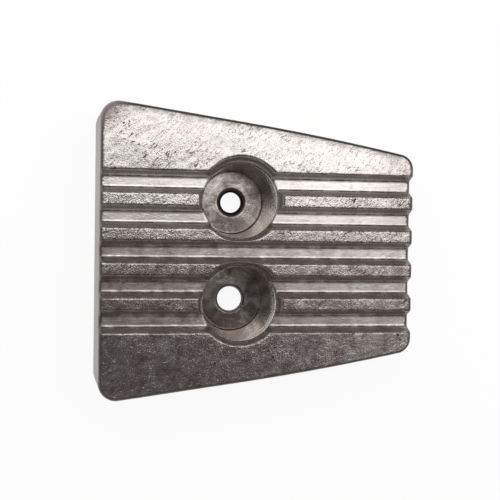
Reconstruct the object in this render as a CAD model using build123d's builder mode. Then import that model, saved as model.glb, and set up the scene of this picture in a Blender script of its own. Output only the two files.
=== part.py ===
"""Sacrificial anode: a tapered block cast in one piece, with five grooves across its
face and two deep counterbored bolt holes.

Frame: millimetres, +Z up. The flat back lies on Z = 0 with the origin at the middle of
its bounding box, the grooves run along X, and the wide end is at -X.
"""
from build123d import *
from math import asin, atan, cos, degrees, hypot, radians, sin, tan
import os

# Body, measured at the back face
length = 104.0            # wide end to narrow end, along X
wide_end_width = 98.8     # along Y, at the wide end, with its corners still square
side_angle = 7.9          # how far each long side leans in towards the narrow end, degrees
straight_side = 47.0      # straight stretch of a long side, along X from the wide end
side_bow_radius = 800.0   # the rest of the long side bows outwards on this radius
wide_corner_radius = 7.0
narrow_corner_radius = 6.5
thickness = 28.5          # back face to ribbed face
draft_angle = 3.0         # mould draft of the outer walls, degrees
cast_edge_radius = 0.6    # rounding that the mould leaves on every edge of the ribbed side
back_edge_chamfer = 0.4   # where the walls meet the back

# Grooves across the face
groove_count = 5
groove_pitch = 11.0
groove_depth = 3.0
groove_top_width = 7.0
groove_floor_width = 3.8
groove_root_radius = 0.9  # between a groove's floor and its walls

# Bolt holes, each at the bottom of a counterbore centred on a ridge
bolt_pitch_count = 3      # the two holes stand this many groove pitches apart
bolt_offset = 6.0         # both holes are this far from the middle, towards the wide end
bolt_hole_diameter = 9.0
web_thickness = 3.5       # metal left under a counterbore's floor
counterbore_floor_radius = 10.7
counterbore_root_chamfer = 0.6
counterbore_draft = 3.4   # taper of the counterbore's wall, degrees
flare_width = 1.5         # how much wider than its rim the counterbore opens at the face

through = 1.0             # how far a cutting shape runs past the face that it opens
snap = 0.01               # two heights closer than this are the same level

groove_floor_level = thickness - groove_depth
rim_radius = counterbore_floor_radius + (groove_floor_level - web_thickness) * tan(radians(counterbore_draft))
flare_radius = rim_radius + flare_width
bolt_y = bolt_pitch_count * groove_pitch / 2
bolt_places = [(-bolt_offset, bolt_y), (-bolt_offset, -bolt_y)]


def is_cast_edge(edge):
    """Edges that the mould rounds: the face's own, the grooves' open ends, and the flares' cuts."""
    middle = edge.center()
    end_wall = length / 2 - thickness * tan(radians(draft_angle))
    from_bolt = min(hypot(middle.X - x, middle.Y - y) for x, y in bolt_places)
    on_face = middle.Z > thickness - snap
    at_groove_end = abs(middle.X) > end_wall - snap and middle.Z > groove_floor_level - snap
    at_flare = from_bolt < flare_radius and middle.Z > groove_floor_level + snap
    return on_face or at_groove_end or at_flare


with BuildPart() as anode:
    # Drafted block: half its outline is the wide end, a straight run and a bowed run
    with BuildSketch() as outline:
        with BuildLine():
            lean = radians(side_angle)
            wide_corner = (-length / 2, -wide_end_width / 2)
            bow_start = (wide_corner[0] + straight_side, wide_corner[1] + straight_side * tan(lean))
            bow_end_angle = degrees(asin(sin(lean) + (length - straight_side) / side_bow_radius))
            Polyline((-length / 2, 0), wide_corner, bow_start)
            bow = JernArc(bow_start, (cos(lean), sin(lean)), side_bow_radius, bow_end_angle - side_angle)
            Line(bow @ 1, (length / 2, 0))
            mirror(about=Plane.XZ)
        make_face()
        fillet(outline.vertices().group_by(Axis.X)[0], wide_corner_radius)
        fillet(outline.vertices().group_by(Axis.X)[-1], narrow_corner_radius)
    extrude(amount=thickness, taper=draft_angle)

    # Grooves, open at both ends; the cutters' flanks carry on above the face
    with BuildSketch(Plane.YZ.offset(-length)) as grooves:
        groove_wall_run = (groove_top_width - groove_floor_width) / 2 / groove_depth
        mouth = groove_top_width + 2 * groove_wall_run * through
        wall_slope = degrees(atan(1 / groove_wall_run))
        with Locations((0, groove_floor_level)):
            with GridLocations(groove_pitch, 0, groove_count, 1):
                upright = (Align.CENTER, Align.MAX)
                Trapezoid(mouth, groove_depth + through, wall_slope, rotation=180, align=upright)
        fillet(grooves.vertices().group_by(Axis.Y)[0], groove_root_radius)
    extrude(amount=2 * length, mode=Mode.SUBTRACT)

    # Counterbores: a machined floor, a tapered wall up to the rim and a flare above it
    flare_run = flare_width / groove_depth
    for x, y in bolt_places:
        with BuildSketch(Plane((x, y, 0), x_dir=(1, 0, 0), z_dir=(0, -1, 0))) as counterbore:
            with BuildLine():
                Polyline(
                    (0, web_thickness),
                    (counterbore_floor_radius, web_thickness),
                    (rim_radius, groove_floor_level),
                    (flare_radius + flare_run * through, thickness + through),
                    (0, thickness + through),
                    close=True,
                )
            make_face()
            chamfer(counterbore.vertices().group_by(Axis.Y)[0].sort_by(Axis.X)[-1], counterbore_root_chamfer)
        revolve(axis=Axis((x, y, 0), (0, 0, 1)), mode=Mode.SUBTRACT)
    with Locations(*bolt_places):
        Hole(bolt_hole_diameter / 2)

    fillet(anode.edges().filter_by(is_cast_edge), cast_edge_radius)
    chamfer(anode.faces().sort_by(Axis.Z)[0].outer_wire().edges(), back_edge_chamfer)

anode.part.label = "anode"
os.makedirs("parts", exist_ok=True)
export_step(anode.part, "parts/anode.step")
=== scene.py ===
"""Sacrificial anode for a boat's drive: a grooved casting with two counterbored bolt holes.

Laid out as an add-on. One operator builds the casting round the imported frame, another
lays out the stage, lamps and camera. Lengths are in metres, +Z is up, the anode lies on
its back, its grooves run along X and its wide end is at -X.
"""

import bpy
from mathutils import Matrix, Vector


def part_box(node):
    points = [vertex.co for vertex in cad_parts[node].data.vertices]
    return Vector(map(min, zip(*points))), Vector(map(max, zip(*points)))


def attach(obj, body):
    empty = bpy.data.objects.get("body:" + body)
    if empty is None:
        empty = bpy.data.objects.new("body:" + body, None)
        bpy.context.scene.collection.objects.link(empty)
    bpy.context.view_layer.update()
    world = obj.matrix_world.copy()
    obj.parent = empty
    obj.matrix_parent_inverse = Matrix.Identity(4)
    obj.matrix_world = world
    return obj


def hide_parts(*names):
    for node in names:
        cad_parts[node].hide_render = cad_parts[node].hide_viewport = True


bl_info = {
    "name": "Sacrificial Anode",
    "version": (1, 0, 0),
    "blender": (4, 5, 0),
    "location": "View3D > Sidebar > Anode",
    "description": "Builds a grooved sacrificial anode casting and a pale stage for it",
    "category": "Add Mesh",
}

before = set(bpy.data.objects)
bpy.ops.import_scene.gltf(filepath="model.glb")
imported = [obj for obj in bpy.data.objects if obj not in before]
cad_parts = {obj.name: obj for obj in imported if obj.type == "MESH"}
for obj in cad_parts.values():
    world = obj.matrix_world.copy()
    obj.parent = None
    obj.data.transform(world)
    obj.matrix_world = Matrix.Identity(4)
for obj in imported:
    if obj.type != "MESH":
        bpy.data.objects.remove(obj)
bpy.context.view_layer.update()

import bmesh
import bpy
import numpy as np
from bpy.props import FloatProperty, FloatVectorProperty, PointerProperty
from mathutils import Matrix, Quaternion, Vector

NODE_LOW, NODE_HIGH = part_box("anode")
MM = 0.001
DEG = np.pi / 180
BOLT_X = 6 * MM       # both bolt holes stand this far from the middle, towards the wide end
BOLT_Y = 16.5 * MM    # and this far to its two sides

# What the "machined" attribute says of a point; between two of them the finishes blend
CAST, TURNED, IN_HOLE = 0.0, 1.0, 2.0
# OUTSIDE is the outer walls' skin; from it towards the second value the rounded outer edge is
# painted with shade
OUTSIDE, SHADED_EDGE = -1.0, -2.0


def linear(hex_colour):
    """Linear RGB of an sRGB hex colour."""
    channels = np.array([int(hex_colour[i:i + 2], 16) for i in (1, 3, 5)]) / 255
    low = channels / 12.92
    high = ((channels + 0.055) / 1.055) ** 2.4
    return tuple(np.where(channels <= 0.04045, low, high))


def rgba(colour):
    """A colour property's value as a socket takes it."""
    return (*colour, 1.0)


# ---------------------------------------------------------------- sizes and colours

def length(name, description, millimetres):
    return FloatProperty(name=name, description=description, default=millimetres * MM,
                         subtype="DISTANCE", unit="LENGTH", precision=5)


def angle(name, description, degrees):
    return FloatProperty(name=name, description=description, default=degrees * DEG,
                         subtype="ANGLE", unit="ROTATION")


def share(name, description, value):
    return FloatProperty(name=name, description=description, default=value,
                         subtype="FACTOR", min=0, max=1)


def brightness(name, description, radiance):
    return FloatProperty(name=name, description=description, default=radiance, min=0)


def colour(name, description, hex_colour):
    return FloatVectorProperty(name=name, description=description, default=linear(hex_colour),
                               subtype="COLOR", size=3, min=0, max=1)


class CastingSizes(bpy.types.PropertyGroup):
    """Sizes of the casting; its length and thickness come from the frame."""
    wide_end_width: length("Wide end", "Width of the back there, before its corners", 98.8)
    side_angle: angle("Side angle", "How far each long side leans in", 7.9)
    straight_side: length("Straight side", "Straight stretch of a long side, along X", 47)
    side_bow_radius: length("Side bow", "Radius of the rest of a long side", 800)
    wide_corner_radius: length("Wide corners", "Corner radius at the wide end's back", 7)
    narrow_corner_radius: length("Narrow corners", "Corner radius at the narrow end's back", 6.5)
    draft_angle: angle("Draft", "Mould draft of the outer walls", 3)
    cast_edge_radius: length("Cast edge", "Rounding of the ridges' edges", 0.5)
    outer_edge_radius: length("Outer edge", "Rounding between face and outer walls", 0.95)
    corner_wear: length("Corner wear", "Extra rounding of the edge at the wide corners", 1.4)
    wear_reach: length("Wear reach", "How far from those corners the wear spreads", 14)
    lower_wear: share("Lower wear", "Wear of the corner at -Y, as a share of the other's", 0.1)
    # The next two paint shade: its strength on the face's rounded edge away from the +Y side, and
    # how far it creeps in over the face from the +Y edge
    edge_shade: share("Edge film", "Film on the face's edge, as a share of its +Y side's", 0.35)
    film_reach: length("Film reach", "How far the +Y edge's film creeps over the face", 2.8)
    flare_rounding: length("Flare rounding", "How far a flare's cut is rounded over", 1.0)
    flare_offset: length("Flare offset", "From the bolts' axes to the flares', along +Y", 0.45)
    end_setback: length("End setback", "From the ridges' narrow ends to the grooves'", 0.4)
    back_chamfer: length("Back chamfer", "Where the walls meet the back", 0.4)
    back_margin: length("Back margin", "Strip round the back that keeps its shading flat", 0.8)
    groove_pitch: length("Groove pitch", "From one groove to the next", 11)
    groove_depth: length("Groove depth", "From the face to a groove's floor", 3)
    groove_top_width: length("Groove top", "Width of a groove at the face", 7)
    groove_floor_width: length("Groove floor", "Width of a groove's floor", 3.8)
    groove_root_radius: length("Groove root", "Radius between floor and wall", 0.9)
    bolt_hole_radius: length("Bolt hole", "Radius of a bolt hole", 4.5)
    web_thickness: length("Web", "Metal under a counterbore's floor", 3.5)
    counterbore_radius: length("Counterbore", "Radius at a counterbore's floor", 10.7)
    counterbore_draft: angle("Counterbore draft", "Taper of a counterbore's wall", 3.4)
    root_radius: length("Counterbore root", "Radius between its floor and wall", 0.4)
    flare_width: length("Flare", "How much wider a counterbore opens at the face", 1.5)
    rim_rounding: length("Rim", "How far a counterbore's rim is rounded down its wall", 0.6)
    hole_edge: length("Hole edge", "Break at a bolt hole's two edges", 0.12)
    upper_flash: length("Upper flash", "Width of the flash left in the upper bolt hole", 1.05)
    lower_flash: length("Lower flash", "Width of the flash left in the lower bolt hole", 0.35)
    mesh_step: length("Mesh step", "Spacing of the surface's points", 0.5)
    skin_relief: length("Skin relief", "Depth of the cast skin's ripples", 0.14)


class FinishColours(bpy.types.PropertyGroup):
    """Colours of the cast alloy."""
    alloy: colour("Alloy", "Bare metal of the cast skin", "#D8D3CF")
    # Oxide is the real film in the skin's hollows, and also painted shade on the sloped walls and
    # where the skin tips over an edge
    oxide_and_shade: colour("Oxide", "Darker film in the skin's hollows and on the grooves' walls", "#7C726C")
    stain: colour("Stain", "Brown blots left by the mould", "#80696A")
    groove: colour("Groove", "Smoother metal on the grooves' floors", "#EFEAE6")
    # Wall is partly the outer walls' duller skin and partly painted shade, darker for the shadowed
    # floor close by that the walls mirror
    wall: colour("Wall", "Dull skin of the outer walls", "#938A84")
    scuffed: colour("Scuffed", "Dull metal of the worn corners", "#B9AFAF")
    # Edge is painted shade on the face's rounded edge, creeping in from the +Y edge and in the bolt
    # holes, and the real dark of the pits and of the walls' stains
    edge: colour("Edge", "Dark film along the face's edge and in the bolt holes", "#433B38")
    machined: colour("Machined", "Turned metal in the counterbores", "#E0DAD4")
    # Smeared is the cutter's duller metal, and also painted shade on the -Y side of the
    # counterbores' floors
    smeared: colour("Smeared", "Duller metal that the cutter smeared", "#7A6F6B")


class StageSettings(bpy.types.PropertyGroup):
    """The floor and the lamps."""
    floor: colour("Floor", "Colour of the floor", "#FFFFFF")
    key_radiance: brightness("Key lamp", "Brightness of the long lamp over the +Y side", 1.62)
    fill_radiance: brightness("Fill lamp", "Brightness of the lamp over the narrow end", 0.3)
    ceiling_radiance: brightness("Ceiling", "Brightness of the room's ceiling", 0.13)
    walls_radiance: brightness("Walls", "Brightness of the room's pale walls", 0.5)


# ---------------------------------------------------------------- paths and sections

def walk(start, heading, runs, stations):
    """Points and headings at arc lengths along a path of straight and round runs.

    A run is (length, turn). Its heading changes evenly, so over a distance t with
    curvature k the path moves by t * sin(k t / 2) / (k t / 2) along the heading at t / 2.
    """
    lengths, turns = np.array(runs, float).T
    curvature = turns / lengths
    run_start = np.concatenate([[0], np.cumsum(lengths)[:-1]])
    run_heading = heading + np.concatenate([[0], np.cumsum(turns)[:-1]])

    def moved(first, bend, t):
        middle = first + bend * t / 2
        reach = t * np.sinc(bend * t / 2 / np.pi)
        return np.stack([reach * np.cos(middle), reach * np.sin(middle)], -1)

    whole = moved(run_heading, curvature, lengths)
    run_origin = np.array(start) + np.concatenate([[(0, 0)], np.cumsum(whole, 0)[:-1]])
    stations = np.asarray(stations, float)
    i = np.clip(np.searchsorted(run_start, stations, "right") - 1, 0, len(lengths) - 1)
    t = stations - run_start[i]
    return run_origin[i] + moved(run_heading[i], curvature[i], t), run_heading[i] + curvature[i] * t


def half_outline(s):
    """Start and runs of the back's outline, from the wide end's middle to the narrow end's."""
    # The frame's box ends at the back chamfer's top; this outline is the one before the chamfer
    half_length = (NODE_HIGH.x - NODE_LOW.x) / 2 + s.back_chamfer * np.tan(s.draft_angle)
    lean = s.side_angle
    bow_start = Vector((-half_length + s.straight_side,
                        s.wide_end_width / 2 - s.straight_side * np.tan(lean)))
    bow_centre = bow_start - s.side_bow_radius * Vector((np.sin(lean), np.cos(lean)))
    corner_x = half_length - s.narrow_corner_radius
    bow_reach = s.side_bow_radius - s.narrow_corner_radius
    bow_end = np.arcsin((corner_x - bow_centre.x) / bow_reach)
    narrow_half = bow_centre.y + bow_reach * np.cos(bow_end)
    wide_turn = 90 * DEG + lean
    wide_tangent = s.wide_corner_radius * np.tan(wide_turn / 2)
    narrow_turn = 90 * DEG - bow_end
    runs = [
        (s.wide_end_width / 2 - wide_tangent, 0),
        (s.wide_corner_radius * wide_turn, -wide_turn),
        (s.straight_side / np.cos(lean) - wide_tangent, 0),
        (s.side_bow_radius * (bow_end - lean), lean - bow_end),
        (s.narrow_corner_radius * narrow_turn, -narrow_turn),
        (narrow_half, 0),
    ]
    return (-half_length, 0), runs


def groove_section(s):
    """Y and height from a groove's middle to the next ridge's, at even arc lengths.

    Returns also which of these points lies on the ridge's edge.
    """
    wall_run = (s.groove_top_width - s.groove_floor_width) / 2
    slope = np.arctan2(s.groove_depth, wall_run)
    root = s.groove_root_radius * np.tan(slope / 2)
    crest = s.cast_edge_radius * np.tan(slope / 2)
    runs = [
        (s.groove_floor_width / 2 - root, 0),
        (s.groove_root_radius * slope, slope),
        (np.hypot(wall_run, s.groove_depth) - root - crest, 0),
        (s.cast_edge_radius * slope, -slope),
        ((s.groove_pitch - s.groove_top_width) / 2 - crest, 0),
    ]
    total = sum(run[0] for run in runs)
    steps = int(np.ceil(total / s.mesh_step))
    stations = np.linspace(0, total, steps + 1)
    points, _ = walk((0, NODE_HIGH.z - s.groove_depth), 0, runs, stations)
    edge_station = total - runs[4][0] - runs[3][0] / 2
    return points, int(np.argmin(abs(stations - edge_station)))


def soft_min(a, b, reach):
    """The lower of two heights, with their meeting rounded over a difference of reach."""
    overlap = np.maximum(reach - abs(a - b), 0)
    return np.minimum(a, b) - overlap ** 2 / (4 * reach)


# ---------------------------------------------------------------- the casting's surface

class Casting:
    """Works out the anode's whole surface, block by block, as arrays of points.

    The face is a grid that follows the grooves. It spreads round each counterbore to meet
    a circle, which rings carry on down to the bolt hole and out at the back. Beyond the
    last grooves it is stretched to the outline, whose wall is one section carried round.
    """
    # How far from a bore the grid is bent, in half sides of the square inside its circle
    BENT_REACH = 2.1
    # Up to this height above a groove's floor a flare's cut is left sharp
    SHARP_CUT = 0.3 * MM
    # The narrow end's setback fades out this far below the grooves' floors
    SETBACK_FADE = 8 * MM
    # Points over a rim, a counterbore's root and a bolt hole, and round the outer edge
    RIM_POINTS, ROOT_POINTS, HOLE_POINTS, EDGE_POINTS = 7, 6, 13, 8
    # Height of the flash's middle and how far it fades to both sides, as shares of the web's
    # thickness, and the share of that fade over which it keeps its full width
    FLASH_LEVEL, FLASH_FADE, FLASH_FLAT = 0.55, 0.2, 0.25
    # Share of the edge's painted shade that the wear takes off
    WORN_SHADE = 0.55

    def __init__(self, s):
        self.s = s
        self.points = []
        self.finish = []
        self.faces = []
        self.count = 0
        self.top = NODE_HIGH.z
        self.floor = self.top - s.groove_depth
        self.tan_draft = np.tan(s.draft_angle)
        self.outline_start, self.outline_runs = half_outline(s)
        self.outline_length = sum(run[0] for run in self.outline_runs)
        section, edge = groove_section(s)
        self.lay_rows(section, edge)
        self.bore_y = BOLT_Y
        self.bore_x = -BOLT_X
        self.square = self.bore_y - self.edge_row
        self.circle = self.square * np.sqrt(2)
        taper = np.tan(s.counterbore_draft)
        self.rim = s.counterbore_radius + (self.floor - s.web_thickness) * taper

    def lay_rows(self, section, edge):
        """Rows across the face: the section repeated from the middle groove to the land.

        That is five half pitches, each one the section or its mirror image.
        """
        half = self.s.groove_pitch / 2
        y, height = section.T
        rows = [y[:1]]
        heights = [height[:1]]
        for k in range(5):
            # Every second half runs from a ridge to a groove; each drops its first point
            mirrored = k % 2 == 1
            rows.append(k * half + (half - y[-2::-1] if mirrored else y[1:]))
            heights.append(height[-2::-1] if mirrored else height[1:])
        self.row_y = rows = np.concatenate(rows)
        self.row_height = np.concatenate(heights)
        per_half = len(y) - 1
        self.edge_index = 2 * per_half - edge          # the middle ridge's far edge
        self.land_index = 4 * per_half + edge          # the last groove's outer edge
        self.edge_row = rows[self.edge_index]
        self.land_row = rows[self.land_index]

    def groove_height(self, y):
        """Height of the grooved face at y, with no counterbore."""
        return np.interp(abs(y), self.row_y, self.row_height)

    def face_height(self, x, y):
        """Height of the face: the lower of the grooves' section and the counterbores' flares.

        The flares are cast and the counterbores cut, so the flares stand a little off the axes.
        """
        s = self.s
        grooves = self.groove_height(y)
        bore_y = np.where(y < 0, -self.bore_y, self.bore_y)
        from_bore = np.hypot(x - self.bore_x, y - bore_y - s.flare_offset)
        flare = self.floor + (from_bore - self.rim) * s.groove_depth / s.flare_width
        flare = np.maximum(flare, self.floor - s.groove_depth)
        rounded = soft_min(grooves, flare, s.flare_rounding)
        near_floor = grooves < self.floor + self.SHARP_CUT
        return np.where(near_floor, np.minimum(grooves, flare), rounded)

    def outline(self, stations):
        """Points and outward normals of the back's outline."""
        points, heading = walk(self.outline_start, 90 * DEG, self.outline_runs, stations)
        return points, np.stack([-np.sin(heading), np.cos(heading)], -1)

    def wear(self, points, side):
        """Share of the wide end's corner wear at those points: (1 - (distance / reach)^2)^2.

        `side` is 1 in the +Y half and -1 in the other, where there is less wear.
        """
        s = self.s
        corner = (self.outline_start[0], s.wide_end_width / 2)
        away = np.hypot(points[:, 0] - corner[0], abs(points[:, 1]) - corner[1])
        bell = np.clip(1 - (away / s.wear_reach) ** 2, 0, 1) ** 2
        return bell * np.where(side > 0, 1, s.lower_wear)

    def edge_radius(self, points, side):
        """Rounding of the face's outer edge, larger where the corners are worn."""
        return self.s.outer_edge_radius + self.s.corner_wear * self.wear(points, side)

    def sheet_edge(self, stations, side=1):
        """Where the face ends and the edge's rounding starts, at those stations."""
        points, normal = self.outline(stations)
        height = self.groove_height(points[:, 1])
        inset = height * self.tan_draft + self.edge_radius(points, side)
        inset += self.setback(normal, height, height)
        return points - normal * inset[:, None]

    def setback(self, normal, face, z):
        """How far the narrow end's wall stands back where a groove opens in it.

        All of it at the groove's floor and above, fading out evenly down the wall.
        """
        at_end = normal[:, 0] > 0.99
        sunk = np.clip((self.top - face) / self.s.groove_depth, 0, 1) * at_end
        fading = np.clip(1 + (z - self.floor) / self.SETBACK_FADE, 0, 1)
        return self.s.end_setback * sunk * fading

    # ---- collecting blocks

    def add(self, block, finish, flip=False, closed=False):
        """Adds a grid of points (rows, columns, 3) as quads.

        A closed grid also joins its last column to its first.
        """
        rows, columns = block.shape[:2]
        index = self.count + np.arange(rows * columns).reshape(rows, columns)
        if closed:
            index = np.concatenate([index, index[:, :1]], 1)
        quads = np.stack([index[:-1, :-1], index[:-1, 1:], index[1:, 1:], index[1:, :-1]], -1)
        if flip:
            quads = quads[..., ::-1]
        self.points.append(block.reshape(-1, 3))
        self.finish.append(np.broadcast_to(finish, (rows, columns)).reshape(-1))
        self.faces.append(quads.reshape(-1, 4))
        self.count += rows * columns

    def lifted(self, x, y):
        """Grid points of the face from their x and y."""
        return np.stack([x, y, self.face_height(x, y)], -1)

    def add_face(self, x, y):
        """Adds a block of the face's upper half and its counterpart in the lower half."""
        self.add(self.lifted(x, y), CAST)
        self.add(self.lifted(x, -y), CAST, flip=True)

    # ---- the face

    def columns(self, row_y):
        """X of every column on each row, in three stretches: left of the bores, across, right."""
        s = self.s
        row_y = np.asarray(row_y)
        left_end = self.sheet_edge(abs(row_y))[:, 0]
        right_end = self.sheet_edge(self.outline_length - abs(row_y))[:, 0]
        left_inner = self.bore_x - self.square
        right_inner = self.bore_x + self.square

        def shares(span):
            """Even shares of a stretch, as many for every row."""
            return np.linspace(0, 1, 1 + int(np.ceil(span / s.mesh_step)))

        left = shares(left_inner - NODE_LOW.x)
        middle = shares(right_inner - left_inner)
        right = shares(NODE_HIGH.x - right_inner)
        return (left_end[:, None] + (left_inner - left_end)[:, None] * left,
                np.broadcast_to(left_inner + (right_inner - left_inner) * middle,
                                (len(row_y), len(middle))),
                right_inner + (right_end - right_inner)[:, None] * right)

    def whole_rows(self, row_y):
        """The three stretches joined, without the points that they share."""
        left, middle, right = self.columns(row_y)
        return np.concatenate([left, middle[:, 1:], right[:, 1:]], 1)

    def round_the_bore(self, x, offset):
        """Bends columns beside a bore outwards so that the one at the square meets the circle.

        Between the square's side and `reach` the distance from the bore's middle is
        compressed linearly towards that reach.
        """
        reach = self.BENT_REACH * self.square
        away = abs(x - self.bore_x)
        circle = np.sqrt(self.circle ** 2 - offset ** 2)[:, None]
        pressed = reach - (reach - away) * (reach - circle) / (reach - self.square)
        return self.bore_x + np.sign(x - self.bore_x) * np.where(away < reach, pressed, away)

    def make_side_blocks(self):
        """The grooved face beside each bore, between its square's lower and upper rows."""
        rows = self.row_y[self.edge_index:self.land_index + 1]
        left, _, right = self.columns(rows)
        offset = rows - self.bore_y
        for x in (left, right):
            x = self.round_the_bore(x, offset)
            y = np.broadcast_to(rows[:, None], x.shape)
            self.add_face(x, y)

    def bulge(self, x):
        """How far the circle stands out of the square, over columns at x on its edge row."""
        away = np.minimum(abs(x - self.bore_x), self.square)
        return np.sqrt(self.circle ** 2 - away ** 2) - self.square

    def make_middle_block(self):
        """The face between the two bores: its rows close up where the circles reach in."""
        upper = self.row_y[:self.edge_index + 1]
        rows = np.concatenate([-upper[:0:-1], upper])
        x = self.whole_rows(rows)
        y = rows[:, None] * (1 - self.bulge(x) / self.edge_row)
        self.add(self.lifted(x, y), CAST)

    def make_land_block(self):
        """The plain land from the last groove to the outline.

        A Coons patch: the sum of the blends between opposite edges, less the blend of the
        four corners.
        """
        s = self.s
        lengths = np.cumsum([run[0] for run in self.outline_runs])
        first = lengths[0] + self.outline_runs[1][0] / 2
        last = lengths[3] + self.outline_runs[4][0] / 2
        rows = int(np.ceil((first - self.land_row) / s.mesh_step))
        v = np.linspace(0, 1, rows + 1)[:, None, None]
        x = self.whole_rows([self.land_row])[0]
        u = (x - x[0]) / (x[-1] - x[0])
        right_start = self.outline_length - self.land_row
        self.land_u = u
        self.land_v = v[:, 0, 0]
        self.land_stations = (first, last, right_start)
        bottom = np.stack([x, self.land_row + self.bulge(x)], -1)[None]
        u = u[None, :, None]
        for side in (1, -1):
            top = self.sheet_edge(first + (last - first) * self.land_u, side)[None]
            left = self.land_row + (first - self.land_row) * self.land_v
            left = self.sheet_edge(left, side)[:, None]
            right = right_start + (last - right_start) * self.land_v
            right = self.sheet_edge(right, side)[:, None]
            patch = (1 - v) * bottom + v * top + (1 - u) * left + u * right
            patch -= (1 - u) * ((1 - v) * bottom[:, :1] + v * top[:, :1])
            patch -= u * ((1 - v) * bottom[:, -1:] + v * top[:, -1:])
            self.add(self.lifted(patch[..., 0], side * patch[..., 1]), CAST, flip=side < 0)

    # ---- counterbores

    def ring_angles(self):
        """Angles of the points on the circle, in step with the blocks around it."""
        offset = self.row_y[self.edge_index:self.land_index + 1] - self.bore_y
        across = np.linspace(self.square, -self.square, len(self.columns([0])[1][0]))
        right = np.arcsin(offset / self.circle)
        top = np.arccos(across / self.circle)
        return np.concatenate([right[:-1], top[:-1], right[:-1] + np.pi, top[:-1] + np.pi])

    def make_bores(self):
        """Flare, rounded rim, tapered wall, floor and bolt hole: rings round each bore's axis.

        The rim is a quadratic Bezier curve from the flare, over the sharp corner, to the wall.
        """
        s = self.s
        theta = self.ring_angles()
        cos, sin = np.cos(theta), np.sin(theta)
        rounding = s.rim_rounding
        x = self.bore_x + self.circle * cos
        y = self.bore_y + self.circle * sin

        def ring(radius, height):
            return np.stack([self.bore_x + radius * cos, self.bore_y + radius * sin,
                             np.broadcast_to(height, theta.shape)], -1)

        taper = np.tan(s.counterbore_draft)
        corner = ring(self.rim, self.floor)
        end = ring(self.rim - rounding * taper, self.floor - rounding)
        t = np.linspace(0, 1, self.RIM_POINTS)[:, None, None]

        # Wall, root and floor are one section walked down and inwards
        slope = 90 * DEG - s.counterbore_draft
        tangent = s.root_radius * np.tan(slope / 2)
        depth = self.floor - rounding - s.web_thickness
        runs = [
            (depth / np.sin(slope) - tangent, 0),
            (s.root_radius * slope, slope),
            (s.counterbore_radius - tangent - s.bolt_hole_radius - s.hole_edge, 0),
        ]
        total = sum(run[0] for run in runs)
        ring_step = 1.3 * s.mesh_step
        stations = np.linspace(0, total, int(np.ceil(total / ring_step)))[1:]
        rounded = runs[0][0] + np.linspace(0, 1, self.ROOT_POINTS) * runs[1][0]
        stations = np.unique(np.concatenate([stations, rounded]))
        wall_top = (rounding * taper - self.rim, self.floor - rounding)
        section, _ = walk(wall_top, -slope, runs, stations)
        hole_z = np.linspace(s.web_thickness - s.hole_edge, s.hole_edge, self.HOLE_POINTS)
        # The flash stands midway down the hole and fades out to both sides
        from_flash = abs(hole_z / s.web_thickness - self.FLASH_LEVEL)
        swell = np.clip(1 + self.FLASH_FLAT - from_flash / self.FLASH_FADE, 0, 1)
        back_edge = s.bolt_hole_radius + s.hole_edge
        for side, flash in ((1, s.upper_flash), (-1, s.lower_flash)):
            radii = np.concatenate([-section[:, 0], s.bolt_hole_radius - flash * swell,
                                    [back_edge, back_edge + s.back_margin]])
            heights = np.concatenate([section[:, 1], hole_z, [0, 0]])
            inner = np.stack([ring(radius, height) for radius, height in zip(radii, heights)])
            start = np.stack([x, y, self.face_height(x, side * y)], -1)
            rim = (1 - t) ** 2 * start + 2 * t * (1 - t) * corner + t ** 2 * end
            block = np.concatenate([rim, inner])
            # The cutter's finish comes in over the rim; the floor's last ring is the hole's edge
            finish = np.concatenate([np.linspace(CAST, 0.8 * TURNED, len(rim)),
                                     np.full(len(section) - 1, TURNED),
                                     np.full(len(hole_z) + 2, IN_HOLE), [OUTSIDE]])
            self.add(block * (1, side, 1), finish[:, None], flip=side > 0, closed=True)

    # ---- walls

    def make_walls(self):
        """The edge's rounding, the drafted wall and the back's chamfer, all round the outline."""
        s = self.s
        first, last, right_start = self.land_stations
        rows = self.row_y[:self.land_index + 1]
        left_land = self.land_row + (first - self.land_row) * self.land_v
        top_land = first + (last - first) * self.land_u
        right_land = last + (right_start - last) * self.land_v
        stations = np.concatenate([rows[:-1], left_land[:-1], top_land[:-1], right_land[:-1],
                                   self.outline_length - rows[::-1]])
        points, normal = self.outline(stations)
        height = self.groove_height(points[:, 1])
        phi = np.linspace(0, 90 * DEG, self.EDGE_POINTS)[:, None]
        wall_step = 2.6 * s.mesh_step
        steps = int(np.ceil(self.top / wall_step))
        t = np.linspace(0, 1, steps + 1)[1:, None]
        grooved = np.clip((self.top - height) / s.groove_depth, 0, 1)
        for side in (1, -1):
            radius = self.edge_radius(points, side)
            wall_z = (height - radius) * (1 - t) + s.back_chamfer * t
            z = np.concatenate([height - radius * (1 - np.cos(phi)), wall_z,
                                np.zeros((2, len(stations)))])
            inset = np.concatenate([radius * (1 - np.sin(phi)), np.zeros_like(wall_z),
                                    np.full((1, len(stations)), s.back_chamfer),
                                    np.full((1, len(stations)), s.back_chamfer + s.back_margin)])
            inset = inset + z * self.tan_draft + self.setback(normal, height, z)
            xy = points - normal * inset[..., None]
            # The rounded edge is painted with shade: darkest along the +Y side, where the
            # outline faces within some 50 degrees of +Y, and none at the grooves' ends
            towards_y = np.clip(1.5 * side * normal[:, 1], 0, 1)
            film_and_shade = s.edge_shade + (1 - s.edge_shade) * towards_y
            film_and_shade = film_and_shade * (1 - self.WORN_SHADE * self.wear(points, side)) * (1 - grooved)
            finish = np.full(z.shape, OUTSIDE)
            finish[1:len(phi)] = OUTSIDE + (SHADED_EDGE - OUTSIDE) * film_and_shade
            block = np.concatenate([xy, z[..., None]], -1) * (1, side, 1)
            self.add(block, finish, flip=side > 0)

    # ---- the whole

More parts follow.
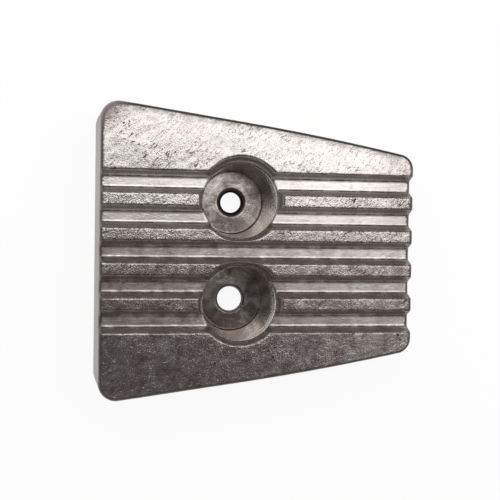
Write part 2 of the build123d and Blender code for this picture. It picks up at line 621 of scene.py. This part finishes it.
    def mark(self, mesh):
        """Gives every point its shares of the corner wear and of the shade painted in from the +Y
        edge.

        That painted shade falls off evenly from the outline at the face's height, over its reach.
        """
        points = np.empty(3 * len(mesh.vertices))
        mesh.vertices.foreach_get("co", points)
        points = points.reshape(-1, 3)
        stations = np.linspace(self.outline_runs[0][0], self.outline_length, 400)
        side, _ = self.outline(stations)
        inside = np.interp(points[:, 0], *side.T) - self.top * self.tan_draft - points[:, 1]
        shares = {"worn": self.wear(points, points[:, 1]),
                  "creeping_shade": np.clip(1 - inside / self.s.film_reach, 0, 1)}
        for name, values in shares.items():
            attribute = mesh.attributes.new(name, "FLOAT", "POINT")
            attribute.data.foreach_set("value", values.astype(np.float32))

    def build(self, name):
        self.make_middle_block()
        self.make_side_blocks()
        self.make_land_block()
        self.make_bores()
        self.make_walls()
        mesh = bpy.data.meshes.new(name)
        mesh.from_pydata(np.concatenate(self.points), [], np.concatenate(self.faces))
        attribute = mesh.attributes.new("machined", "FLOAT", "POINT")
        attribute.data.foreach_set("value", np.concatenate(self.finish).astype(np.float32))
        close_back(mesh)
        roughen(mesh, self)
        self.mark(mesh)
        mesh.shade_smooth()
        return mesh


def close_back(mesh):
    """Welds the blocks' shared edges and fills the flat back round its two holes."""
    work = bmesh.new()
    work.from_mesh(mesh)
    bmesh.ops.remove_doubles(work, verts=work.verts, dist=0.002 * MM)
    rim = [edge for edge in work.edges if edge.is_boundary]
    bmesh.ops.triangle_fill(work, use_beauty=True, use_dissolve=False, edges=rim,
                            normal=(0, 0, -1))
    bmesh.ops.recalc_face_normals(work, faces=work.faces)
    work.to_mesh(mesh)
    work.free()


# ---------------------------------------------------------------- cast skin

def grain(points, cell, seed):
    """Smooth random field: random values on a lattice, eased between its eight nearest nodes."""
    scaled = points / cell
    scaled = scaled - scaled.min(0)
    base = np.floor(scaled).astype(int)
    blend = scaled - base
    blend = blend * blend * (3 - 2 * blend)
    lattice = np.random.default_rng(seed).random(base.max(0) + 2)
    value = np.zeros(len(points))
    for corner in np.ndindex(2, 2, 2):
        weight = np.prod(np.where(corner, blend, 1 - blend), axis=1)
        value += weight * lattice[tuple((base + corner).T)]
    return value


def roughen(mesh, casting):
    """Sinks the mould's roughness into the surface, never outwards, so that sizes hold."""
    s = casting.s
    count = len(mesh.vertices)
    points = np.empty(count * 3)
    normals = np.empty(count * 3)
    machined = np.empty(count)
    mesh.vertices.foreach_get("co", points)
    mesh.vertex_normals.foreach_get("vector", normals)
    mesh.attributes["machined"].data.foreach_get("value", machined)
    points = points.reshape(-1, 3)
    normals = normals.reshape(-1, 3)
    # Wrinkles of the skin lie askew to the grooves, two and a half times as long as wide
    turn, stretch = 35 * DEG, 2.5
    along = points[:, 0] * np.cos(turn) + points[:, 1] * np.sin(turn)
    across = points[:, 1] * np.cos(turn) - points[:, 0] * np.sin(turn)
    askew = np.stack([along / stretch, across, points[:, 2]], -1)
    skin = (0.5 * grain(askew, 1.3 * MM, 1) + 0.3 * grain(points, 3.5 * MM, 2)
            + 0.2 * grain(points, 1.1 * MM, 3))
    # The skin is calmer in the grooves and on the walls, and none is left on turned metal
    in_groove, on_wall, back_fade = 0.3, 0.8, 2 * MM
    on_ridge = np.clip((points[:, 2] - casting.floor) / s.groove_depth, 0, 1)
    depth = s.skin_relief * (in_groove + (1 - in_groove) * on_ridge ** 2)
    depth = depth * (1 - np.clip(machined, CAST, TURNED))
    depth = depth * np.where(machined < OUTSIDE / 2, on_wall, 1)
    depth = depth * np.clip(points[:, 2] / back_fade, 0, 1)
    moved = points - normals * (depth * skin)[:, None]
    mesh.vertices.foreach_set("co", moved.reshape(-1))
    mesh.update()


# ---------------------------------------------------------------- materials

# Settings that many nodes share
TIMES, MINUS = {"operation": "MULTIPLY"}, {"operation": "SUBTRACT"}
LARGER, SMALLER = {"operation": "MAXIMUM"}, {"operation": "MINIMUM"}
TIMES_PLUS = {"operation": "MULTIPLY_ADD"}
PLUS = {"operation": "ADD", "use_clamp": True}
EASED = {"interpolation_type": "SMOOTHSTEP"}
COLOURED = {"data_type": "RGBA"}
STRETCHED = {"vector_type": "TEXTURE"}


class Nodes:
    """The node tree of a material or a world, and the function that adds to it."""

    def __init__(self, owner):
        owner.use_nodes = True
        self.tree = owner.node_tree
        self.tree.nodes.clear()

    def add(self, kind, settings, *values, **sockets):
        """Adds a node; `values` go to its inputs in order, `sockets` to those that they name.

        Only the inputs that its settings open are counted. A value is a number, a tuple or
        another node's output, and a whole node stands for its first open output.
        """
        node = self.tree.nodes.new("ShaderNode" + kind)
        for key, value in settings.items():
            setattr(node, key, value)
        inputs = [socket for socket in node.inputs if socket.enabled]
        named = {socket.name.lower().replace(" ", "_"): socket for socket in inputs}
        targets = inputs[:len(values)] + [named[key] for key in sockets]
        for socket, value in zip(targets, [*values, *sockets.values()]):
            if isinstance(value, bpy.types.Node):
                value = next(output for output in value.outputs if output.enabled)
            if isinstance(value, bpy.types.NodeSocket):
                self.tree.links.new(value, socket)
            else:
                socket.default_value = value
        return node


def cast_alloy(colours):
    """Cast zinc or aluminium alloy with a sand-rough skin, turned in its counterbores.

    The mould leaves a wrinkled skin whose small facets glint one by one, the grooves'
    floors come out smoother, and the cutter leaves close rings in the counterbores.
    """
    material = bpy.data.materials.new("cast_anode_alloy_rough")
    n = Nodes(material)
    oxide_and_shade, stain, edge = (rgba(tint) for tint in (colours.oxide_and_shade, colours.stain, colours.edge))
    coordinates = n.add("TexCoord", {})
    place = coordinates.outputs["Object"]
    x, y, z = n.add("SeparateXYZ", {}, place).outputs
    facing = n.add("SeparateXYZ", {}, coordinates.outputs["Normal"]).outputs["Z"]
    finish, worn, creeping_shade = (n.add("Attribute", {"attribute_name": name}).outputs["Fac"]
                              for name in ("machined", "worn", "creeping_shade"))

    # The back has the outer walls' finish right up to the bolt holes' edges
    above_back = n.add("MapRange", {}, z, 0.05 * MM, 0.12 * MM, OUTSIDE, IN_HOLE)
    finish = n.add("Math", SMALLER, finish, above_back)
    turned = n.add("MapRange", {}, finish, 0.3, 0.8)
    # Painted shade: the bolt holes' walls take the dark edge colour
    hole_painted_shade = n.add("MapRange", {}, finish, 1.2, 1.8)
    outside = n.add("MapRange", {}, finish, -0.1, -0.6)
    # Painted shade on the face's rounded outer edge
    at_edge = n.add("MapRange", {}, finish, -1.05, -1.95, to_max=0.9)
    # Height parts the ridges' skin, the grooves' sloped walls and their floors
    face = NODE_HIGH.z
    below_face = n.add("MapRange", {}, z, face - 0.15 * MM, face - 0.8 * MM)
    on_floor = n.add("MapRange", EASED, z, face - 1.6 * MM, face - 2.97 * MM)
    # The land at +Y is smoother than the ridges, and the -Y side is more stained
    on_land = n.add("MapRange", {}, y, 20 * MM, 26 * MM)
    stain_side = n.add("MapRange", EASED, y, 17 * MM, -4 * MM)

    # Wrinkles of the skin: 0.65 mm wide, two and a half times as long, askew to the grooves
    askew = n.add("Mapping", STRETCHED, place, rotation=(0, 0, 48 * DEG), scale=(2.5, 1, 1))
    wrinkle = n.add("TexNoise", {}, askew, scale=1 / (0.65 * MM), detail=2.5, roughness=0.45,
                    distortion=1.0)
    # Grit of the mould's face: 0.45 mm
    grit = n.add("TexNoise", {}, place, scale=1 / (0.45 * MM), detail=1.5, roughness=0.5)
    relief = n.add("Mix", {}, 0.45, wrinkle, grit)
    # The skin is rougher in some places than in others, over about 9 mm
    patch = n.add("TexNoise", {}, place, scale=1 / (9 * MM), detail=3.0, roughness=0.55)
    # Stain gathers in clouds of about 4 mm, drawn out along the grooves in streaks 0.5 mm wide
    cloud = n.add("TexNoise", {}, place, scale=1 / (4 * MM), detail=4.0, roughness=0.6,
                  distortion=0.5)
    drawn = n.add("Mapping", STRETCHED, place, scale=(5, 1, 1))
    streak = n.add("TexNoise", {}, drawn, scale=1 / (0.5 * MM), detail=2.0, roughness=0.6)
    blot = n.add("Mix", {}, 0.35, cloud, streak)
    # Pits: sparse thin dashes, 0.3 mm wide and 1 mm long
    thin = n.add("Mapping", STRETCHED, place, rotation=(0, 0, 40 * DEG), scale=(2.6, 1, 1))
    dashes = n.add("TexNoise", {}, thin, scale=1 / (0.6 * MM), detail=0.0, distortion=1.2)
    pits = n.add("MapRange", EASED, dashes, 0.66, 0.73)

    # Oxide lies in the hollows, and a darker film in the pits, more of it in some patches
    film_and_shade = n.add("MapRange", {}, relief, 0.47, 0.34, to_max=0.6)
    spread = n.add("MapRange", {}, patch, 0.42, 0.62, 0.15, 1.0)
    pitted = n.add("Math", TIMES, pits, spread)
    # Stain is thickest on the -Y side and at the narrow end
    side_stain = n.add("MapRange", {}, stain_side, to_min=0.08, to_max=0.85)
    end_stain = n.add("MapRange", {}, x, 30 * MM, 48 * MM, to_max=0.55)
    most_stain = n.add("Math", LARGER, side_stain, end_stain)
    stained = n.add("MapRange", {}, blot, 0.32, 0.64, to_max=most_stain)
    # Painted shade on the sloped walls, left off the floors and the turned metal
    walls_painted_shade = n.add("Math", TIMES, below_face, 0.6)
    clean = n.add("Math", LARGER, on_floor, turned)
    walls_painted_shade = n.add("Math", TIMES, walls_painted_shade, n.add("Math", MINUS, 1.0, clean))
    skin = rgba(colours.alloy)
    for mask, tint in ((film_and_shade, oxide_and_shade), (pitted, edge), (stained, stain), (walls_painted_shade, oxide_and_shade)):
        skin = n.add("Mix", COLOURED, mask, skin, tint)

    # The grooves' floors carry little film but as much stain, and more towards the wide end
    thin_film = n.add("Math", TIMES, film_and_shade, 0.35)
    soiled = n.add("Math", LARGER, thin_film, stained)
    lengthwise = n.add("MapRange", {}, x, -40 * MM, 40 * MM, 1.05, 0.7)
    soiled = n.add("Math", TIMES, soiled, lengthwise)
    floor = n.add("Mix", COLOURED, soiled, rgba(colours.groove), stain)
    # The outer walls are stained half as much
    # The outer walls' colour is partly painted shade, for the shadowed floor close by that they
    # mirror
    streaked = n.add("Math", TIMES, stained, 0.5)
    wall = n.add("Mix", COLOURED, streaked, rgba(colours.wall), edge)
    # Painted shade, broken up unevenly, where the skin tips over an edge or up from a floor, short
    # of the steep walls; it dims the highlights there
    broken = n.add("MapRange", {}, blot, 0.42, 0.55, 0.3, 0.95)
    tilt_painted_shade = n.add("MapRange", {}, facing, 0.988, 0.95)
    gentle = n.add("MapRange", {}, facing, 0.6, 0.8)
    tilt_painted_shade = n.add("Math", TIMES, n.add("Math", TIMES, tilt_painted_shade, broken), gentle)
    # Painted shade creeps in over the face from the +Y edge, and more film lies round the worn
    # corner
    creeping_shade = n.add("Math", TIMES, creeping_shade, broken)
    handled = n.add("Math", {**TIMES, "use_clamp": True}, worn, 2.2)
    handled = n.add("Math", TIMES, handled, broken)
    # Where a corner is worn the bare alloy is scuffed dull, mostly on its rounded edge
    exposed = n.add("MapRange", {}, outside, to_min=0.1, to_max=1.0)
    scuffed = n.add("Math", TIMES, worn, exposed)

    # Turned metal: rings 0.5 mm apart round each bolt's axis, uneven as a worn cutter's are
    from_middle = n.add("CombineXYZ", {}, x, n.add("Math", {"operation": "ABSOLUTE"}, y))
    from_axis = n.add("VectorMath", {"operation": "DISTANCE"}, from_middle, (-BOLT_X, BOLT_Y, 0))
    travel = n.add("Math", MINUS, from_axis, z)
    rings = n.add("TexNoise", {"noise_dimensions": "1D"}, travel, scale=1 / (0.5 * MM),
                  detail=2.0, roughness=0.7)
    smear_and_shade = n.add("Mix", {}, 0.2, cloud, rings)
    smear_and_shade = n.add("MapRange", {}, smear_and_shade, 0.3, 0.7)
    # Painted shade darkens the -Y side of the counterbores' floors, mixed into the smear; their
    # walls stay clean.
    # Y wrapped at the bolts' pitch puts the middles of both at BOLT_Y
    in_bore = n.add("Math", {"operation": "WRAP"}, y, 2 * BOLT_Y, 0.0)
    bore_floor_painted_shade = n.add("MapRange", {}, in_bore, BOLT_Y, BOLT_Y - 9 * MM, 0.12, 0.55)
    on_wall = n.add("MapRange", {}, z, 4 * MM, 5 * MM)
    smear_and_shade = n.add("Math", PLUS, smear_and_shade, n.add("Math", MINUS, bore_floor_painted_shade, on_wall))
    metal = n.add("Mix", COLOURED, smear_and_shade, rgba(colours.machined), rgba(colours.smeared))

    # Over the skin go in turn: painted shade where it tips, painted shade creeping in from the +Y
    # edge, film round the worn corner, the outer walls, painted shade on the rounded edge, scuffs,
    # the turned metal and painted shade in the bolt holes
    base = n.add("Mix", COLOURED, on_floor, skin, floor)
    for mask, tint in ((tilt_painted_shade, oxide_and_shade), (creeping_shade, edge), (handled, oxide_and_shade), (outside, wall),
                       (at_edge, edge), (scuffed, rgba(colours.scuffed)), (turned, metal),
                       (hole_painted_shade, edge)):
        base = n.add("Mix", COLOURED, mask, base, tint)

    # The cutter's side polishes the walls more than its face does the floors
    rough_turned = n.add("MapRange", {}, rings, 0.35, 0.65, 0.19, 0.27)
    rough_turned = n.add("Mix", {}, on_wall, rough_turned, 0.12)
    rough = n.add("MapRange", {}, grit, 0.3, 0.7, 0.18, 0.28)
    for mask, value in ((on_floor, 0.3), (outside, 0.36), (scuffed, 0.5), (turned, rough_turned)):
        rough = n.add("Mix", {}, mask, rough, value)

    # Relief: strong on the skin, calmer on the grooves' floors, on the land, under stain and
    # in some patches, and only faint rings and swells in the counterbores
    sunk = n.add("Math", TIMES_PLUS, pits, -0.3, relief)
    calm = n.add("MapRange", {}, on_floor, to_min=1.0, to_max=0.6)
    for share_left in (n.add("MapRange", {}, patch, 0.3, 0.7, 0.55, 1.25),
                       n.add("MapRange", {}, on_land, to_min=1.0, to_max=0.4),
                       n.add("MapRange", {}, stain_side, to_min=1.0, to_max=0.7)):
        calm = n.add("Math", TIMES, calm, share_left)
    cast_height = n.add("Math", TIMES, sunk, calm)
    ring_height = n.add("Math", TIMES, rings, 0.12)
    turned_height = n.add("Math", TIMES_PLUS, cloud, 0.5, ring_height)
    height = n.add("Mix", {}, turned, cast_height, turned_height)
    bump = n.add("Bump", {}, strength=1.0, distance=0.22 * MM, height=height)
    # Where shade is painted on the sloped walls and the rounded edge, and where a corner is
    # scuffed, the surface scatters light like a paint
    scatter = n.add("Math", LARGER, n.add("Math", LARGER, walls_painted_shade, at_edge), scuffed)
    metallic = n.add("MapRange", {}, scatter, to_min=1.0, to_max=0.3)
    surface = n.add("BsdfPrincipled", {}, base_color=base, metallic=metallic, roughness=rough,
                    normal=bump)
    n.add("OutputMaterial", {}, surface)
    return material


def pale_floor(settings):
    """Matt white studio sheet, which stays white round a soft shadow.

    To the camera, to mirrors and through glass it glows, a little short of white, and the
    lamps' light on it comes on top. From below it is clear, so that the anode's back shows.
    """
    glow_strength, sheet_grey = 0.9, (0.2, 0.2, 0.2, 1)
    material = bpy.data.materials.new("matt_white_sheet")
    n = Nodes(material)
    ray = n.add("LightPath", {}).outputs
    seen = n.add("Math", PLUS, ray["Is Camera Ray"], ray["Is Glossy Ray"])
    seen = n.add("Math", PLUS, seen, ray["Is Transmission Ray"])
    glow = n.add("Math", TIMES, seen, glow_strength)
    shine = n.add("Emission", {}, rgba(settings.floor), glow)
    sheet = n.add("AddShader", {}, n.add("BsdfDiffuse", {}, sheet_grey), shine)
    below = n.add("NewGeometry", {}).outputs["Backfacing"]
    shown = n.add("MixShader", {}, below, sheet, n.add("BsdfTransparent", {}))
    n.add("OutputMaterial", {}, shown)
    return material


def room(settings):
    """Pale walls up to 20 degrees above the floor, and a dark ceiling from 50 degrees upwards.

    Between them the light eases from one to the other. To the camera all of it is white.
    """
    warm_white = (1, 0.985, 0.97, 1)
    world = bpy.data.worlds.new("room")
    n = Nodes(world)
    direction = n.add("TexCoord", {}).outputs["Generated"]
    upwards = n.add("SeparateXYZ", {}, direction).outputs["Z"]
    level = n.add("MapRange", EASED, upwards, np.sin(20 * DEG), np.sin(50 * DEG),
                  settings.walls_radiance, settings.ceiling_radiance)
    level = n.add("Math", LARGER, level, n.add("LightPath", {}).outputs["Is Camera Ray"])
    n.add("OutputWorld", {}, n.add("Background", {}, warm_white, level))
    return world


# ---------------------------------------------------------------- operators

class ANODE_OT_casting(bpy.types.Operator):
    """Build the casting and let it stand for the frame's node"""
    bl_idname = "anode.casting"
    bl_label = "Build casting"

    def execute(self, context):
        mesh = Casting(context.scene.anode_sizes).build("cast_anode")
        mesh.materials.append(cast_alloy(context.scene.anode_colours))
        piece = bpy.data.objects.new("cast_anode", mesh)
        context.scene.collection.objects.link(piece)
        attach(piece, "root")
        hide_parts("anode")
        return {"FINISHED"}


def upright(backward):
    """Turn that points a camera's back along `backward` with the picture's top towards +Y."""
    back = backward.normalized()
    right = Vector((0, 1, 0)).cross(back).normalized()
    return Matrix((right, back.cross(right), back)).transposed().to_quaternion()


class ANODE_OT_stage(bpy.types.Operator):
    """Lay the pale floor and set the lamps, the room and the camera"""
    bl_idname = "anode.stage"
    bl_label = "Lay stage"

    def lay_floor(self, scene):
        # It lies just clear of the anode's back, so that the two don't fight
        reach, level = 20.0, -0.02 * MM
        mesh = bpy.data.meshes.new("floor")
        corners = [(-reach, -reach), (reach, -reach), (reach, reach), (-reach, reach)]
        mesh.from_pydata([(x, y, level) for x, y in corners], [], [(0, 1, 2, 3)])
        mesh.materials.append(pale_floor(scene.anode_stage))
        floor = bpy.data.objects.new("floor", mesh)
        scene.collection.objects.link(floor)

    def hang_lamp(self, scene, name, place, width, depth, turn, radiance):
        """A level area lamp; its power is radiance * pi * area."""
        data = bpy.data.lights.new(name, "AREA")
        data.shape = "RECTANGLE"
        data.size = width
        data.size_y = depth
        data.energy = radiance * np.pi * width * depth
        lamp = bpy.data.objects.new(name, data)
        lamp.location = place
        lamp.rotation_euler = (0, 0, turn)
        lamp.visible_camera = False
        scene.collection.objects.link(lamp)

    def set_camera(self, scene):
        """Stands almost straight over the anode, a little back over its wide end."""
        place = Vector((-52.296, 7.628, 325.027)) * MM
        aim = Vector((-3.286, 0.864, 28.5)) * MM
        roll = 0.81 * DEG
        data = bpy.data.cameras.new("camera")
        data.sensor_width = 36
        data.lens = 68.17
        data.clip_start = 0.01
        camera = bpy.data.objects.new("camera", data)
        camera.location = place
        camera.rotation_mode = "QUATERNION"
        camera.rotation_quaternion = upright(place - aim) @ Quaternion((0, 0, 1), roll)
        scene.collection.objects.link(camera)
        scene.camera = camera

    def execute(self, context):
        scene = context.scene
        settings = scene.anode_stage
        self.lay_floor(scene)
        scene.world = room(settings)
        self.hang_lamp(scene, "strip_softbox", place=(-0.02, 0.144, 0.36), width=0.48, depth=0.19,
                       turn=-18 * DEG, radiance=settings.key_radiance)
        self.hang_lamp(scene, "side_softbox", place=(0.2, -0.03, 0.37), width=0.16, depth=0.28,
                       turn=0, radiance=settings.fill_radiance)
        self.set_camera(scene)
        scene.view_settings.view_transform = "Standard"
        return {"FINISHED"}


class ANODE_PT_sidebar(bpy.types.Panel):
    """Builds the anode and its stage"""
    bl_idname = "ANODE_PT_sidebar"
    bl_label = "Sacrificial anode"
    bl_space_type = "VIEW_3D"
    bl_region_type = "UI"
    bl_category = "Anode"

    def draw(self, context):
        self.layout.operator(ANODE_OT_casting.bl_idname)
        self.layout.operator(ANODE_OT_stage.bl_idname)
        for group_name in GROUPS:
            group = getattr(context.scene, group_name)
            column = self.layout.column()
            for name in group.__annotations__:
                column.prop(group, name)


GROUPS = {"anode_sizes": CastingSizes, "anode_colours": FinishColours,
          "anode_stage": StageSettings}
CLASSES = (*GROUPS.values(), ANODE_OT_casting, ANODE_OT_stage, ANODE_PT_sidebar)


def register():
    for kind in CLASSES:
        bpy.utils.register_class(kind)
    for name, kind in GROUPS.items():
        setattr(bpy.types.Scene, name, PointerProperty(type=kind))


def unregister():
    for name in GROUPS:
        delattr(bpy.types.Scene, name)
    for kind in reversed(CLASSES):
        bpy.utils.unregister_class(kind)


def main():
    register()
    bpy.ops.anode.casting()
    bpy.ops.anode.stage()


if __name__ == "__main__":
    main()
